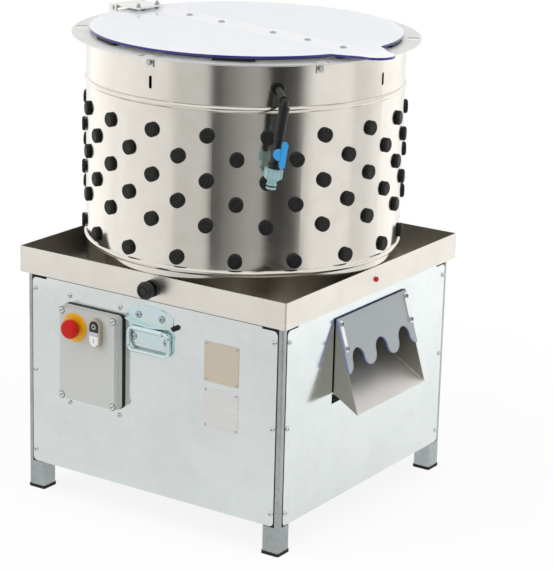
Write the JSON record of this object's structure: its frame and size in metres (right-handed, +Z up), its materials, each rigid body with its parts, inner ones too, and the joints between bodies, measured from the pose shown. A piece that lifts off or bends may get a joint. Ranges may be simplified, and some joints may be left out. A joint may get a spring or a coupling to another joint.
{
  "type": "poultry plucker",
  "caption": "Drum poultry plucker: rubber-fingered steel drum over a spinning plate, with hinged clear lid, water tap, splash tray, chute and boxed controls on a panelled tube stand.",
  "frame": {"origin": "floor level under the axis of the drum", "axes": "+Z up along the drum axis, -Y towards the control side, +X towards the chute side"},
  "size_m": [0.7601, 0.7322, 1.001],
  "materials": {
    "galvanised_tube": "hot-dip galvanised tube, dull spangle",
    "galvanised_sheet": "zinc-coated sheet, pale blue grey, faint spangle",
    "stainless_sheet": "mill-finished stainless sheet",
    "bright_fasteners": "bright zinc",
    "black_rubber": "matte moulded rubber",
    "black_plastic": "moulded, semi-gloss",
    "blue_plastic": "moulded, semi-gloss",
    "teal_plastic": "moulded, satin",
    "clear_sheet": "clear polycarbonate sheet with blue cut edges",
    "grey_moulding": "moulded, fine grain",
    "yellow_plastic": "plain printed disc without lettering",
    "red_plastic": "moulded, gloss",
    "bezel_metal": "champagne metal bezel",
    "white_plastic": "moulded, gloss",
    "zinc_plate": "blue-passivated zinc plate",
    "etched_plate": "blank anodised plate",
    "cast_housing": "machined casting",
    "painted_steel": "grey-blue enamel",
    "bright_shaft": "turned steel"
  },
  "bodies": {
    "stand": {"legs": "galvanised_tube", "frame_rails": "galvanised_tube", "foot_caps": "black_rubber", "front_panel": "galvanised_sheet", "right_panel": "galvanised_sheet", "rear_panel": "galvanised_sheet", "left_panel": "galvanised_sheet", "panel_screws": "bright_fasteners", "tray": "stainless_sheet", "drum_shell": "stainless_sheet", "drum_fingers_1": "black_rubber", "drum_fingers_2": "black_rubber", "drum_fingers_3": "black_rubber", "drum_fingers_4": "black_rubber", "drum_fingers_5": "black_rubber", "drum_fingers_6": "black_rubber", "flange_ring": "stainless_sheet", "flange_bolts": "bright_fasteners", "hinge_bracket": "stainless_sheet", "water_pipe": "black_plastic", "tap_body": "black_plastic", "hose_connector": "teal_plastic", "connector_ring": "black_rubber", "chute": "stainless_sheet", "chute_guard": "clear_sheet", "guard_clamps": "stainless_sheet", "guard_bolts": "bright_fasteners", "bearing_housing": "cast_housing", "motor_body": "painted_steel", "motor_plate": "painted_steel", "v_belt": "black_rubber", "control_base": "grey_moulding", "control_seal": "black_rubber", "control_lid": "grey_moulding", "control_screws": "bright_fasteners", "estop_disc": "yellow_plastic", "button_bezel": "bezel_metal", "grab_plate": "zinc_plate", "grab_buffer": "black_rubber", "front_rivets": "bright_fasteners", "rating_plates": "etched_plate", "indicator_lamp": "red_plastic", "drain_fitting": "black_plastic"},
    "lid": {"lid_sheet": "clear_sheet", "lid_pads": "black_rubber", "lid_strip": "clear_sheet", "lid_screws": "bright_fasteners", "hinge_leaf": "stainless_sheet"},
    "estop_slider": {"estop_stem": "black_plastic"},
    "estop_knob": {"estop_head": "red_plastic"},
    "stop_key": {"stop_button": "black_plastic"},
    "start_key": {"start_button": "white_plastic"},
    "carry_bail": {"grab_bail": "zinc_plate"},
    "tap_handle": {"tap_lever": "blue_plastic"},
    "drain_knob": {"drain_cap": "black_plastic"},
    "plate_rotor": {"feather_plate": "stainless_sheet", "plate_fingers": "black_rubber", "main_shaft": "bright_shaft", "driven_pulley": "cast_housing"},
    "motor_rotor": {"motor_pulley": "cast_housing"}
  },
  "joints": [
    {"name": "lid_hinge", "type": "hinge", "parent": "stand", "child": "lid", "pos_m": [-0.34601, 0.04555, 0.986], "axis": [-0.1305, -0.9914, 0], "range_deg": [0, 105]},
    {"name": "estop_push", "type": "slide", "parent": "stand", "child": "estop_slider", "axis": [0, 1, 0], "range_m": [0, 0.004]},
    {"name": "estop_twist", "type": "hinge", "parent": "estop_slider", "child": "estop_knob", "pos_m": [-0.1735, -0.3565, 0.39], "axis": [0, -1, 0], "range_deg": [0, 45], "stiffness_Nm_per_rad": 0.05},
    {"name": "stop_press", "type": "slide", "parent": "stand", "child": "stop_key", "axis": [0, 1, 0], "range_m": [0, 0.003], "stiffness_N_per_m": 300},
    {"name": "start_press", "type": "slide", "parent": "stand", "child": "start_key", "axis": [0, 1, 0], "range_m": [0, 0.003], "stiffness_N_per_m": 300},
    {"name": "bail_swing", "type": "hinge", "parent": "stand", "child": "carry_bail", "pos_m": [0, -0.3295, 0.413], "axis": [-1, 0, 0], "range_deg": [0, 95]},
    {"name": "tap_turn", "type": "hinge", "parent": "stand", "child": "tap_handle", "pos_m": [0.28989, -0.30904, 0.81565], "axis": [0.7071, -0.7071, 0], "range_deg": [0, 90]},
    {"name": "drain_turn", "type": "hinge", "parent": "stand", "child": "drain_knob", "pos_m": [0.014, -0.3505, 0.506], "axis": [0, -1, 0], "continuous": true},
    {"name": "plate_spin", "type": "hinge", "parent": "stand", "child": "plate_rotor", "pos_m": [0, 0, 0.5], "axis": [0, 0, 1], "continuous": true},
    {"name": "motor_spin", "type": "hinge", "parent": "stand", "child": "motor_rotor", "pos_m": [-0.185, 0, 0.36], "axis": [0, 0, 1], "continuous": true}
  ],
  "couplings": [
    {"joint": "motor_spin", "follows": "plate_spin", "ratio": 2.5}
  ]
}
